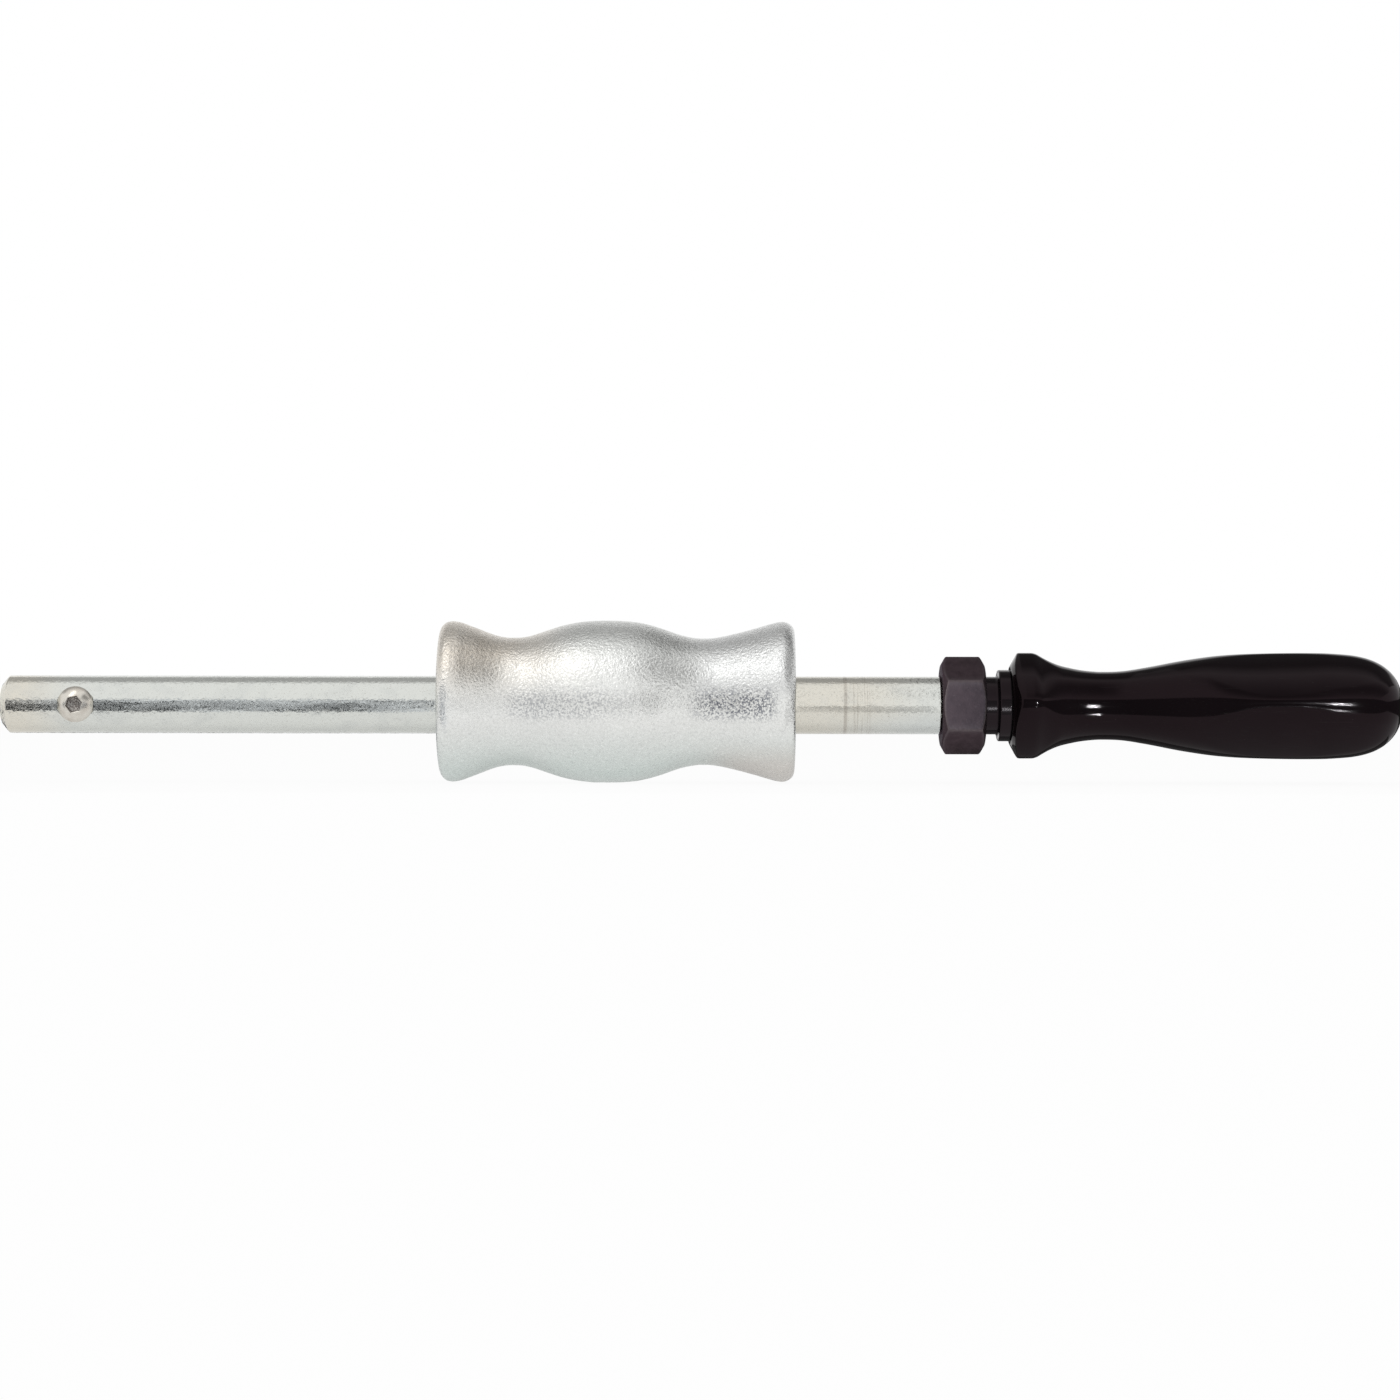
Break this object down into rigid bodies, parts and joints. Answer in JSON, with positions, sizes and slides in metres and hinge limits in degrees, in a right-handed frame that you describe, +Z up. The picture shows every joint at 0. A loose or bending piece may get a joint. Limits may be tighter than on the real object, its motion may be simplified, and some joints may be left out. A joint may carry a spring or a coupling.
{
  "type": "slide hammer puller",
  "caption": "Slide hammer puller: a steel guide rod with a threaded tool socket, a loose cast weight that strikes a hexagon nut, and a moulded handle.",
  "frame": {"origin": "centre of the guide rod's front face, on the axis of the tool socket", "axes": "+X along the guide rod towards the handle, +Z up with the weight lying on the table, and the head of the stop screw faces -Y"},
  "size_m": [0.3883, 0.045, 0.0449],
  "materials": {
    "zinc_plated_steel": "bright zinc plating with fine speckle",
    "zinc_plated_screw": "bright zinc plating",
    "zinc_plated_casting": "zinc plating over a granular casting",
    "browned_steel": "matt browned steel",
    "black_ferrule": "gloss black",
    "plain_steel": "turned steel",
    "black_grip": "gloss black moulding"
  },
  "bodies": {
    "rod": {"guide_rod": "zinc_plated_steel", "stop_screw": "zinc_plated_screw", "stop_nut": "browned_steel", "handle_ferrule": "black_ferrule", "handle_insert": "plain_steel", "handle_grip": "black_grip"},
    "weight": {"slide_weight": "zinc_plated_casting"}
  },
  "joints": [
    {"name": "weight_slide", "type": "slide", "parent": "rod", "child": "weight", "axis": [1, 0, 0], "range_m": [-0.0964, 0.0405]}
  ]
}
